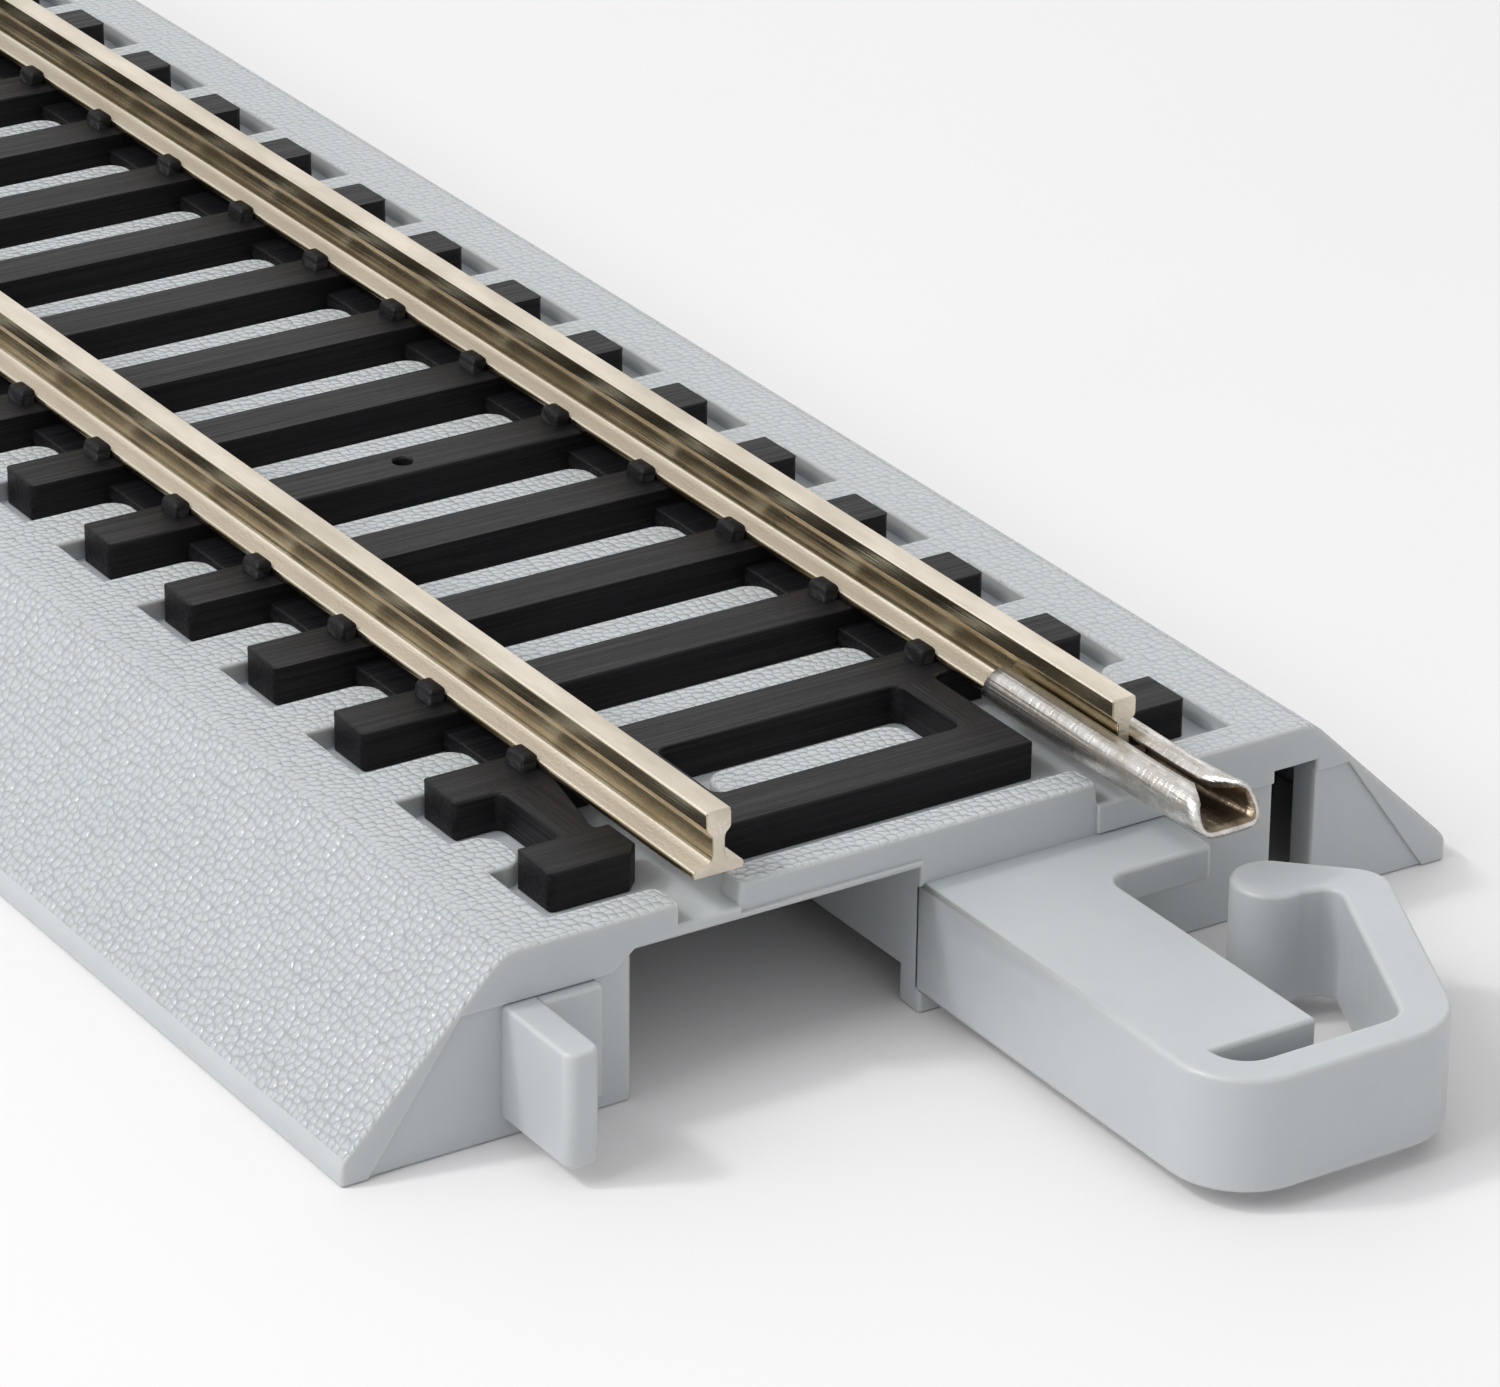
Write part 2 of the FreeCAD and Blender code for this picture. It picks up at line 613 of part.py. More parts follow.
# ----------------------------------------------------------- rail joiners
def joiner(label, turned):
    """A folded sheet round the rail foot, drawn about the rail end."""
    body = new_body(label)
    section = new_sketch(body, label + "_section", "YZ_Plane", "joiner_out")
    inner = "foot_width / 2 + joiner_gap"
    outer = "foot_width / 2 + joiner_gap + joiner_sheet"
    right = [
        (outer, "-joiner_gap - joiner_sheet"),
        (outer, "joiner_height - joiner_fold"),
        (outer + " - joiner_fold", "joiner_height"),
        ("joiner_lip", "joiner_height"),
        ("joiner_lip", "joiner_height - joiner_sheet"),
        (inner + " - joiner_fold", "joiner_height - joiner_sheet"),
        (inner, "joiner_height - joiner_fold - joiner_sheet"),
        (inner, "-joiner_gap"),
    ]
    left = [("-(" + across + ")", up) for across, up in reversed(right)]
    outline(section, right + left)
    length = "joiner_on_rail + joiner_out"
    sleeve = pad(body, label + "_sleeve", section, length)
    sleeve.Reversed = True
    doc.recompute()
    ends = new_sketch(body, label + "_ends", "XZ_Plane")
    for far, back in (
        ("joiner_out", "joiner_out - joiner_cut"),
        ("-joiner_on_rail", "joiner_back_cut - joiner_on_rail"),
    ):
        outline(ends, [
            (far, "-joiner_gap"),
            (far, "rail_height"),
            (back, "rail_height"),
            (back, "joiner_height"),
        ])
    pocket(body, label + "_cut", ends, "4 * foot_width", midplane=True)
    if turned:
        body.Placement.Rotation = FreeCAD.Rotation(FreeCAD.Vector(0, 0, 1), 180)
        body.setExpression("Placement.Base.x", bound("-(" + END + ")"))
        body.setExpression("Placement.Base.y", bound("-(" + RAIL_SIDE + ")"))
    else:
        body.setExpression("Placement.Base.x", bound(END))
        body.setExpression("Placement.Base.y", bound(RAIL_SIDE))
    body.setExpression("Placement.Base.z", bound("tie_top"))
    doc.recompute()
    return body


joiner_front = joiner("joiner_front", False)
joiner_back = joiner("joiner_back", True)


# ---------------------------------------------------------- latch springs
def latch(label, turned):
    """The part of the hook that springs inwards, drawn about the end face."""
    body = new_body(label)
    shape = new_sketch(body, label + "_outline", "XY_Plane", "hook_low")
    outline(shape, [
        ("hook_reach - hook_bar", "flex_side"),
        ("hook_reach", "flex_side"),
        ("hook_reach", "latch_bend_side"),
        ("latch_back", "latch_back_side"),
        ("tip_outer", "tip_outer_side"),
        ("tip_place", "tip_side"),
        ("tip_inner", "tip_inner_side"),
        ("latch_neck", "latch_neck_side"),
        ("hook_reach - hook_bar", "latch_bend_inner"),
    ])
    pad(body, label + "_spring", shape, "hook_top - hook_low")
    rounds = new_sketch(body, label + "_rounds", "XY_Plane", "hook_low")
    round_spot(rounds, "tip_place", "tip_side", "tip_radius")
    round_spot(rounds, "hook_reach - hook_bar / 2", "flex_side", "hook_bar / 2")
    pad(body, label + "_ends", rounds, "hook_top - hook_low")
    for name, radius, x, y in (
        ("_bend", "hook_round", "hook_reach", "latch_bend_side"),
        ("_back", "latch_back_round", "latch_back", "latch_back_side"),
        ("_inside", "latch_inner_round", "hook_reach - hook_bar", "latch_bend_inner"),
        ("_neck", "neck_round", "latch_neck", "latch_neck_side"),
    ):
        soften(body, label + name, radius, [(amount(x), amount(y))])
    if turned:
        body.Placement.Rotation = FreeCAD.Rotation(FreeCAD.Vector(0, 0, 1), 180)
        body.setExpression("Placement.Base.x", bound("-(" + END + ")"))
    else:
        body.setExpression("Placement.Base.x", bound(END))
    doc.recompute()
    return body


latch_front = latch("latch_front", False)
latch_back = latch("latch_back", True)

doc.recompute()
for item in doc.Objects:
    assert not {"Invalid", "Error"} & set(item.State), item.Name

os.makedirs("parts", exist_ok=True)
for node in (roadbed, ties, rail_left, rail_right, joiner_front, joiner_back,
             latch_front, latch_back):
    assert not node.Shape.isNull() and node.Shape.isValid(), node.Label
    assert len(node.Shape.Solids) == 1, node.Label + " is not one solid"
    node.Shape.exportStep(f"parts/{node.Label}.step")
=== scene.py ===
import math
import random

import bmesh
import bpy
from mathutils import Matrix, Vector
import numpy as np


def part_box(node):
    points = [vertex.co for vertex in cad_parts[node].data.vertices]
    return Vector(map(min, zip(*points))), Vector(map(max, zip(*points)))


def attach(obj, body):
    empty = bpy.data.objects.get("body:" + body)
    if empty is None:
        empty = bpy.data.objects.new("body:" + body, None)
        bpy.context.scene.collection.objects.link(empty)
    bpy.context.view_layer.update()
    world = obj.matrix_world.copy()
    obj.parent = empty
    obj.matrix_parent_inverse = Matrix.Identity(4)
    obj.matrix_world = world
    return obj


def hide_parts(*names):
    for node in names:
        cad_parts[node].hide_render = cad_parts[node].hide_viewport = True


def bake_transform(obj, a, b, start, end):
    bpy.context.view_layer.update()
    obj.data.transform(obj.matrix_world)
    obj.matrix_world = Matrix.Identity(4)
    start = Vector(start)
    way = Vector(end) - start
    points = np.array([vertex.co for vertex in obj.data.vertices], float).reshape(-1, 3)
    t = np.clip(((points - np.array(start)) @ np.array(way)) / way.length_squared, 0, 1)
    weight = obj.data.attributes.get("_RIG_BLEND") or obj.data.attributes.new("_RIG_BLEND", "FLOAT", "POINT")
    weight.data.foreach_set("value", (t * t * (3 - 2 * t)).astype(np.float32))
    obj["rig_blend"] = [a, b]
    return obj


MM = 0.001

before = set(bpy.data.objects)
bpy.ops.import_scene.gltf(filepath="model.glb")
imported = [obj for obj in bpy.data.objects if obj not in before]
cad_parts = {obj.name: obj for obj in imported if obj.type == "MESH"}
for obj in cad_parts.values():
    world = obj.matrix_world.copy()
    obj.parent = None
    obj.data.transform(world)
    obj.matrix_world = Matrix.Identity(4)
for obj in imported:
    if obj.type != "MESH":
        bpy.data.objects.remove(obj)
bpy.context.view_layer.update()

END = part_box("rail_left")[1].x / MM            # end face of the section
RAIL_LOW, RAIL_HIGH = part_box("rail_left")
RAIL_SIDE = (RAIL_LOW.y + RAIL_HIGH.y) / 2 / MM
TIE_TOP = RAIL_LOW.z / MM


# ------------------------------------------------------------ node helpers
def new_material(name, color, roughness, metallic=0.0, specular=0.5):
    mat = bpy.data.materials.new(name)
    mat.use_nodes = True
    shader = mat.node_tree.nodes["Principled BSDF"]
    shader.inputs["Base Color"].default_value = (*color, 1)
    shader.inputs["Roughness"].default_value = roughness
    shader.inputs["Metallic"].default_value = metallic
    shader.inputs["Specular IOR Level"].default_value = specular
    return mat, mat.node_tree, shader


def add(tree, kind, **values):
    """A node with sockets and properties set by name."""
    node = tree.nodes.new("ShaderNode" + kind)
    for key, value in values.items():
        if hasattr(node, key):
            setattr(node, key, value)
        else:
            node.inputs[key.replace("_", " ")].default_value = value
    return node


def place(tree, scale, rotation=(0, 0, 0), location=(0, 0, 0)):
    """Object coordinates, in metres, scaled per axis."""
    coords = add(tree, "TexCoord")
    mapping = add(tree, "Mapping")
    mapping.inputs["Scale"].default_value = scale
    mapping.inputs["Rotation"].default_value = rotation
    mapping.inputs["Location"].default_value = location
    tree.links.new(coords.outputs["Object"], mapping.inputs["Vector"])
    return mapping.outputs["Vector"]


def noise(tree, vector, scale, detail=3.0, roughness=0.5, distortion=0.0):
    node = add(tree, "TexNoise", Scale=scale, Detail=detail, Roughness=roughness,
               Distortion=distortion)
    tree.links.new(vector, node.inputs["Vector"])
    return node.outputs["Fac"]


def spread(tree, value, low, high, new_low=0.0, new_high=1.0, smooth=False):
    node = add(tree, "MapRange")
    node.interpolation_type = "SMOOTHSTEP" if smooth else "LINEAR"
    tree.links.new(value, node.inputs["Value"])
    for socket, number in (("From Min", low), ("From Max", high),
                           ("To Min", new_low), ("To Max", new_high)):
        node.inputs[socket].default_value = number
    return node.outputs["Result"]


def maths(tree, operation, a, b):
    node = add(tree, "Math", operation=operation)
    for socket, value in zip(node.inputs, (a, b)):
        if isinstance(value, (int, float)):
            socket.default_value = value
        else:
            tree.links.new(value, socket)
    return node.outputs[0]


def tint(tree, fac, low, high):
    """A colour between two, by a number from 0 to 1."""
    node = add(tree, "Mix", data_type="RGBA")
    tree.links.new(fac, node.inputs["Factor"])
    node.inputs[6].default_value = (*low, 1)
    node.inputs[7].default_value = (*high, 1)
    return node.outputs[2]


def bump(tree, shader, height, distance, strength=1.0, normal=None):
    node = add(tree, "Bump", Strength=strength, Distance=distance)
    tree.links.new(height, node.inputs["Height"])
    if normal:
        tree.links.new(normal, node.inputs["Normal"])
    tree.links.new(node.outputs["Normal"], shader.inputs["Normal"])
    return node.outputs["Normal"]


# --------------------------------------------------------------- materials
GREY_LOW = (0.428, 0.450, 0.460)
GREY_HIGH = (0.466, 0.488, 0.496)
PEBBLE = 0.37                                  # width of one grain of ballast


def grey_base(name, roughness):
    """Light grey plastic that lets a little light through at its edges."""
    mat, tree, shader = new_material(name, GREY_HIGH, roughness)
    shader.inputs["Subsurface Weight"].default_value = 0.4
    shader.inputs["Subsurface Radius"].default_value = (1.0, 0.72, 0.45)
    shader.inputs["Subsurface Scale"].default_value = 0.8 * MM
    where = place(tree, (1 / MM, 1 / MM, 1 / MM))
    cloud = noise(tree, where, 0.35, 4)
    return mat, tree, shader, where, tint(tree, cloud, GREY_LOW, GREY_HIGH)


def smooth_grey(name):
    mat, tree, shader, where, color = grey_base(name, 0.40)
    tree.links.new(color, shader.inputs["Base Color"])
    flow = noise(tree, where, 0.8, 3)
    fine = noise(tree, where, 14.0, 2)
    height = maths(tree, "ADD", flow, maths(tree, "MULTIPLY", fine, 0.12))
    bump(tree, shader, height, 0.02 * MM)
    rough = spread(tree, noise(tree, where, 1.2, 3), 0.3, 0.7, 0.34, 0.46)
    tree.links.new(rough, shader.inputs["Roughness"])
    return mat


def pebbled_grey(name, stretch, deep):
    """Moulded ballast grain: low domes parted by narrow grooves. On the
    slopes the pattern is stretched to look even along the slope."""
    mat, tree, shader, where, color = grey_base(name, 0.3)
    flat = place(tree, (1 / MM, stretch / MM, 0))
    bent = add(tree, "TexNoise", Scale=0.9, Detail=1.0)
    tree.links.new(flat, bent.inputs["Vector"])
    shifted = add(tree, "VectorMath", operation="MULTIPLY_ADD")
    tree.links.new(bent.outputs["Color"], shifted.inputs[0])
    shifted.inputs[1].default_value = (0.3, 0.3, 0)
    tree.links.new(flat, shifted.inputs[2])
    domes = add(tree, "TexVoronoi", voronoi_dimensions="2D", Scale=1 / PEBBLE,
                Randomness=0.62)
    grooves = add(tree, "TexVoronoi", voronoi_dimensions="2D", Scale=1 / PEBBLE,
                  Randomness=0.62, feature="DISTANCE_TO_EDGE")
    for cells in (domes, grooves):
        tree.links.new(shifted.outputs[0], cells.inputs["Vector"])
    dome = maths(tree, "MULTIPLY", domes.outputs["Distance"], domes.outputs["Distance"])
    edge = spread(tree, grooves.outputs["Distance"], 0.0, 0.16, smooth=True)
    height = maths(tree, "SUBTRACT", maths(tree, "MULTIPLY", edge, 0.12), dome)
    fine = maths(tree, "MULTIPLY", noise(tree, where, 6.0, 2), 0.12)
    bump(tree, shader, maths(tree, "ADD", height, fine), deep * MM)
    # Painted shade: the base colour is made up to 5% darker in the grooves between the domes, where shade
    # falls.
    shade = spread(tree, grooves.outputs["Distance"], 0.0, 0.14, 0.95, 1.0)
    groove_shaded_color = add(tree, "Mix", data_type="RGBA", blend_type="MULTIPLY", Factor=1.0)
    tree.links.new(color, groove_shaded_color.inputs[6])
    tree.links.new(shade, groove_shaded_color.inputs[7])
    tree.links.new(groove_shaded_color.outputs[2], shader.inputs["Base Color"])
    rough = spread(tree, noise(tree, where, 2.5, 2), 0.3, 0.7, 0.17, 0.26)
    tree.links.new(rough, shader.inputs["Roughness"])
    return mat


def black_plastic(name, along_x):
    """Wood grain moulded along the tie, or along the bar between two ties."""
    mat, tree, shader = new_material(name, (0.008, 0.008, 0.009), 0.42, 0.0, 0.19)
    long_way, short_way = 0.11 / MM, 7.0 / MM
    scale = (long_way, short_way, short_way) if along_x else (short_way, long_way, short_way)
    where = place(tree, scale)
    grain = noise(tree, where, 1.0, 5, 0.6, 0.5)
    wide = noise(tree, place(tree, tuple(x * 0.3 for x in scale)), 1.0, 2, 0.5, 0.8)
    height = maths(tree, "ADD", grain, maths(tree, "MULTIPLY", wide, 0.7))
    bump(tree, shader, height, 0.035 * MM)
    ridge = spread(tree, grain, 0.35, 0.65)
    tree.links.new(tint(tree, ridge, (0.003, 0.003, 0.004), (0.013, 0.0115, 0.013)),
                   shader.inputs["Base Color"])
    tree.links.new(spread(tree, grain, 0.3, 0.7, 0.50, 0.34), shader.inputs["Roughness"])
    return mat


def rail_metal(name, low, high, rough_low, rough_high, pits):
    mat, tree, shader = new_material(name, high, rough_low, 1.0)
    drawn = noise(tree, place(tree, (0.04 / MM, 9 / MM, 9 / MM)), 1.0, 3, 0.6)
    patches = noise(tree, place(tree, (0.16 / MM, 0.5 / MM, 0.8 / MM)), 1.0, 3, 0.6)
    tree.links.new(tint(tree, spread(tree, patches, 0.35, 0.65), low, high),
                   shader.inputs["Base Color"])
    tree.links.new(spread(tree, patches, 0.3, 0.7, rough_high, rough_low),
                   shader.inputs["Roughness"])
    specks = noise(tree, place(tree, (7 / MM, 7 / MM, 7 / MM)), 1.0, 3, 0.65)
    height = maths(tree, "ADD", drawn, maths(tree, "MULTIPLY", specks, pits))
    bump(tree, shader, height, 0.010 * MM)
    return mat


def joiner_metal(name, low, high):
    """Sheet with short scratches across its sides."""
    mat, tree, shader = new_material(name, high, 0.3, 1.0)
    drawn = noise(tree, place(tree, (0.08 / MM, 9 / MM, 9 / MM)), 1.0, 3, 0.6)
    ticks = noise(tree, place(tree, (4.2 / MM, 0.7 / MM, 0.7 / MM)), 1.0, 3, 0.7, 0.4)
    blotch = noise(tree, place(tree, (0.9 / MM, 2 / MM, 2 / MM)), 1.0, 4, 0.7)
    height = maths(tree, "ADD", drawn, maths(tree, "MULTIPLY", ticks, 1.1))
    bump(tree, shader, height, 0.03 * MM)
    tree.links.new(tint(tree, spread(tree, blotch, 0.35, 0.65), low, high),
                   shader.inputs["Base Color"])
    tree.links.new(spread(tree, blotch, 0.3, 0.7, 0.42, 0.24), shader.inputs["Roughness"])
    return mat


GREY_SMOOTH = smooth_grey("grey_smooth")
GREY_CREST = pebbled_grey("grey_crest", 1.0, 0.075)
GREY_SLOPE = pebbled_grey("grey_slope", 1.4, 0.17)
TIE_WOOD = black_plastic("tie_wood", False)
BAR_WOOD = black_plastic("bar_wood", True)
# Lighter and darker copies of the same nickel silver. The rougher matte cream of the head top is the rail's
# own finish. The darker brown of the sides is painted reflection of the dark ties, and the light copy on the
# foot tops is painted sheen.
RAIL_SIDES_PAINTED_REFLECTION = rail_metal("rail_sides_painted_reflection", (0.36, 0.29, 0.17), (0.56, 0.48, 0.33), 0.18, 0.32, 0.5)
RAIL_HEAD = rail_metal("rail_head", (0.64, 0.57, 0.47), (0.80, 0.725, 0.615), 0.44, 0.54, 2.2)
JOINER = joiner_metal("joiner_sheet", (0.48, 0.44, 0.39), (0.80, 0.78, 0.75))
# Painted shade: a dark brown copy of the joiner metal for the inner face of the folded sheet, standing in
# for the shade inside the fold.
JOINER_INSIDE_PAINTED_SHADE = joiner_metal("joiner_inside_painted_shade", (0.16, 0.12, 0.08), (0.36, 0.29, 0.21))


# ------------------------------------------------------------ mesh helpers
def make_object(name, bm, materials):
    bmesh.ops.recalc_face_normals(bm, faces=bm.faces)
    mesh = bpy.data.meshes.new(name)
    bm.to_mesh(mesh)
    bm.free()
    obj = bpy.data.objects.new(name, mesh)
    bpy.context.scene.collection.objects.link(obj)
    for mat in materials:
        mesh.materials.append(mat)
    for face in mesh.polygons:
        face.use_smooth = True
    return obj


def cad_copy(node, cuts=(), end_cuts=()):
    """The node's own mesh, welded, cut across at the given X and near the
    ends also at the given Y, with its flat faces whole between the cuts."""
    bm = bmesh.new()
    bm.from_mesh(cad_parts[node].data)
    bmesh.ops.remove_doubles(bm, verts=bm.verts, dist=0.0002 * MM)
    planes = [((x, 0, 0), (1, 0, 0)) for x in cuts] + [((0, y, 0), (0, 1, 0)) for y in end_cuts]
    for spot, way in planes:
        faces = bm.faces[:]
        if way[1]:
            faces = [f for f in faces if abs(f.calc_center_median().x) > (END - 2) * MM]
        cut_across(bm, faces, spot, way, True)
    merge_flats(bm)
    return bm


def cut_across(bm, faces, spot, way, seam=False):
    """Cuts the given faces by a plane, without taking anything away."""
    parts = set(faces)
    for f in faces:
        parts.update(f.edges)
        parts.update(f.verts)
    cut = bmesh.ops.bisect_plane(bm, geom=list(parts), dist=0.0005 * MM,
                                 plane_co=Vector(spot) * MM, plane_no=way)
    for item in cut["geom_cut"]:
        if isinstance(item, bmesh.types.BMEdge):
            item.seam = seam


def merge_flats(bm):
    bmesh.ops.dissolve_limit(bm, angle_limit=math.radians(0.6), verts=bm.verts,
                             edges=bm.edges, delimit={"SEAM"})


def sharp(edge):
    return edge.is_manifold and abs(edge.calc_face_angle_signed()) > math.radians(28)


def is_strip(face, widest):
    """A long narrow face between two sharp edges, such as a small step."""
    longest = max(e.calc_length() for e in face.edges)
    if face.calc_area() / longest > widest * MM:
        return False
    return sum(sharp(e) for e in face.edges if e.calc_length() > 0.6 * longest) > 1


def mark_round_edges(bm, choose=None, widest=0.3):
    """Bevel weights on the outer edges, small beside narrow steps. Inner
    edges stay hard in the shading."""
    layer = bm.edges.layers.float.new("bevel_weight_edge")
    strips = {f for f in bm.faces if is_strip(f, widest)}
    for edge in bm.edges:
        if not sharp(edge):
            continue
        if not edge.is_convex:
            edge.smooth = False
            continue
        weight = 0.3 if strips & set(edge.link_faces) else 1.0
        if choose:
            weight *= choose(edge)
        edge[layer] = weight


def round_edges(obj, width, segments=3):
    """Rounds the marked edges, and leaves the flats flat in the shading."""
    rounding = obj.modifiers.new("rounding", "BEVEL")
    rounding.limit_method = "WEIGHT"
    rounding.width = width * MM
    rounding.segments = segments
    rounding.use_clamp_overlap = False
    rounding.miter_outer = "MITER_ARC"
    shade = obj.modifiers.new("shading", "WEIGHTED_NORMAL")
    shade.weight = 80
    shade.keep_sharp = True


def corner_path(corners, step=9.0):
    """A closed plan outline. Each corner is (x, y, radius), and the round
    ones become arcs with a point every few degrees."""
    points = []
    count = len(corners)
    for i, (x, y, radius) in enumerate(corners):
        here = Vector((x, y))
        if not radius:
            points.append((x, y))
            continue
        before = Vector(corners[i - 1][:2]) - here
        after = Vector(corners[(i + 1) % count][:2]) - here
        before.normalize()
        after.normalize()
        half = before.angle(after) / 2
        reach = radius / math.tan(half)
        centre = here + (before + after).normalized() * (radius / math.sin(half))
        start = here + before * reach - centre
        stop = here + after * reach - centre
        turn = start.angle_signed(stop)
        parts = max(2, round(abs(math.degrees(turn)) / step))
        for k in range(parts + 1):
            angle = -turn * k / parts
            cos, sin = math.cos(angle), math.sin(angle)
            points.append((centre.x + start.x * cos - start.y * sin,
                           centre.y + start.x * sin + start.y * cos))
    return points


# ----------------------------------------------------------------- roadbed
TIE_NUMBER = 34
FIRST_TIE_X = END - 4.3
PITCH = 2 * FIRST_TIE_X / (TIE_NUMBER - 1)
CREST_HALF, CREST_HEIGHT = 17.65, 7.5
TOE_HALF, TOE_HEIGHT = 24.3, 1.0
END_CUTS = (13.2, 16.9, 19.5, 21.4)            # splits the large end faces
HOOK_TOP, HOOK_LOW, TONGUE_LOW = 5.38, 0.85, 3.95
HOOK_ROOT = END - 0.15                         # the recessed part of the end face
HOOK_SIDE, SHELF_SIDE = 0.05, 11.0


def build_roadbed():
    cuts = [FIRST_TIE_X - PITCH * k / 2 for k in range(2 * TIE_NUMBER - 1)]
    bm = cad_copy("roadbed", cuts, [way * y for y in END_CUTS for way in (1, -1)])
    for way in (1, -1):
        near = [f for f in bm.faces if way * f.calc_center_median().x > (END - 31) * MM]
        cut_across(bm, near, (way * HOOK_ROOT, 0, 0), (1, 0, 0))
        gone = []
        for f in bm.faces:
            c = f.calc_center_median() / MM
            if way * c.x > HOOK_ROOT + 0.002 and c.z < HOOK_TOP + 0.01 \
                    and HOOK_SIDE - 0.02 < way * c.y < SHELF_SIDE + 0.02:
                gone.append(f)
        bmesh.ops.delete(bm, geom=gone, context="FACES")
        edge = [e for e in bm.edges if e.is_boundary]
        bmesh.ops.holes_fill(bm, edges=edge, sides=0)
    merge_flats(bm)
    bm.normal_update()

    def choose(edge):
        """A softer edge at the toe of the slope."""
        middle = (edge.verts[0].co + edge.verts[1].co) / 2 / MM
        toe = abs(abs(middle.y) - TOE_HALF) < 0.05 and abs(middle.z - TOE_HEIGHT) < 0.05
        return 2.5 if toe else 1.0

    mark_round_edges(bm, choose)
    bm.normal_update()
    for f in bm.faces:
        c = f.calc_center_median() / MM
        if f.normal.z > 0.9 and c.z > CREST_HEIGHT - 0.06:
            f.material_index = 1
        elif abs(f.normal.y) > 0.2 and f.normal.z > 0.3 and abs(c.y) > CREST_HALF - 0.8:
            f.material_index = 2
        else:
            f.material_index = 0
    bed = make_object("ballast_roadbed", bm, [GREY_SMOOTH, GREY_CREST, GREY_SLOPE])
    round_edges(bed, 0.16)
    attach(bed, "track_bed")
    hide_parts("roadbed")
    return bed


build_roadbed()


# ------------------------------------------------------------- coupling hooks
FLEX_SIDE = 6.0
HOOK_FRONT, FRONT_BAR = 18.49, 1.55
INNER = HOOK_FRONT - FRONT_BAR
ARM_SIDE = HOOK_SIDE + 1.55
TONGUE_REACH, TONGUE_SIDE, SHELF_REACH = 15.6, 6.13, 2.84
INNER_ROUND = INNER - TONGUE_REACH
TIP, TIP_RADIUS = Vector((6.05, 11.2)), 1.5
ROOT = -0.4                                    # starts inside the end wall


def tip_points(start, stop, step=12.0):
    """Points round the latch tip, anticlockwise seen from above."""
    a, b = math.radians(start), math.radians(stop)
    parts = round(abs(stop - start) / step)
    return [(TIP.x + TIP_RADIUS * math.cos(a + (b - a) * k / parts),
             TIP.y + TIP_RADIUS * math.sin(a + (b - a) * k / parts), 0)
            for k in range(parts + 1)]


def stations(x, low, high, step=0.5):
    """Extra points on the front bar, so that it can bend smoothly."""
    parts = max(1, round(abs(high - low) / step))
    return [(x, low + (high - low) * k / parts, 0) for k in range(parts + 1)]


def hook_outlines():
    """Plan of the springy bar, and of the bar with the tongue plate."""
    bar = [(ROOT, HOOK_SIDE, 0), (HOOK_FRONT, HOOK_SIDE, 3.0)]
    bar += stations(HOOK_FRONT, 3.6, 8.1)
    bar += [(HOOK_FRONT, 10.33, 3.0), (7.75, 15.15, 1.5)]
    bar += tip_points(141, 374)
    bar += [(7.9, 12.9, 0.6), (INNER, 8.85, 1.2)]
    bar += stations(INNER, 7.1, 3.6)
    bar += [(INNER, ARM_SIDE, INNER_ROUND), (ROOT, ARM_SIDE, 0)]
    plate = [(TONGUE_REACH, ARM_SIDE, 0), (TONGUE_REACH, TONGUE_SIDE, 0),
             (SHELF_REACH, TONGUE_SIDE, 0.9), (SHELF_REACH, SHELF_SIDE, 0.3),
             (ROOT, SHELF_SIDE, 0), (ROOT, ARM_SIDE, 0)]
    bar_path, plate_path = corner_path(bar), corner_path(plate)
    return bar_path, bar_path[:-1] + plate_path[1:-1], plate_path


def ring(bm, path, z, way):
    """A closed loop of points at one height, shared where it meets others."""
    return [bm.verts.new((way * (END + x) * MM, way * y * MM, z * MM)) for x, y in path]


def wall(bm, low, high):
    for i in range(len(low)):
        j = (i + 1) % len(low)
        bm.faces.new((low[i], low[j], high[j], high[i]))


def build_hook(name, way, body, node):
    bar, whole, under = hook_outlines()
    bm = bmesh.new()
    bottom = ring(bm, bar, HOOK_LOW, way)
    middle = ring(bm, bar, TONGUE_LOW, way)
    wall(bm, bottom, middle)
    bm.faces.new(bottom)
    plate_low = ring(bm, whole, TONGUE_LOW, way)
    top = ring(bm, whole, HOOK_TOP, way)
    wall(bm, plate_low, top)
    bm.faces.new(top)
    bm.faces.new(ring(bm, under, TONGUE_LOW, way))
    bmesh.ops.remove_doubles(bm, verts=bm.verts, dist=0.002 * MM)
    bmesh.ops.recalc_face_normals(bm, faces=bm.faces)

    def choose(edge):
        a, b = edge.verts[0].co, edge.verts[1].co
        inside = way * (a.x + b.x) / 2 / MM < END + ROOT + 0.01
        return 0.0 if inside else 1.0

    mark_round_edges(bm, choose)
    hook = make_object(name, bm, [GREY_SMOOTH])
    round_edges(hook, 0.2, 4)
    x = way * (END + HOOK_FRONT - FRONT_BAR / 2) * MM
    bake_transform(hook, "track_bed", body, start=(x, way * 4.0 * MM, 0), end=(x, way * 8.0 * MM, 0))
    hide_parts(node)
    return hook


build_hook("coupling_hook_front", 1, "front_latch", "latch_front")
build_hook("coupling_hook_back", -1, "back_latch", "latch_back")


# --------------------------------------------------------------- tie strip
TIE_HALF_WIDTH = 1.22
TIE_END = 13.92
SPIKE_HIGH = TIE_TOP + 0.3                     # above this there are only spikes


def is_upright(edge):
    a, b = edge.verts[0].co, edge.verts[1].co
    return abs(a.z - b.z) > 0.5 * MM and (a - b).xy.length < 0.01 * MM


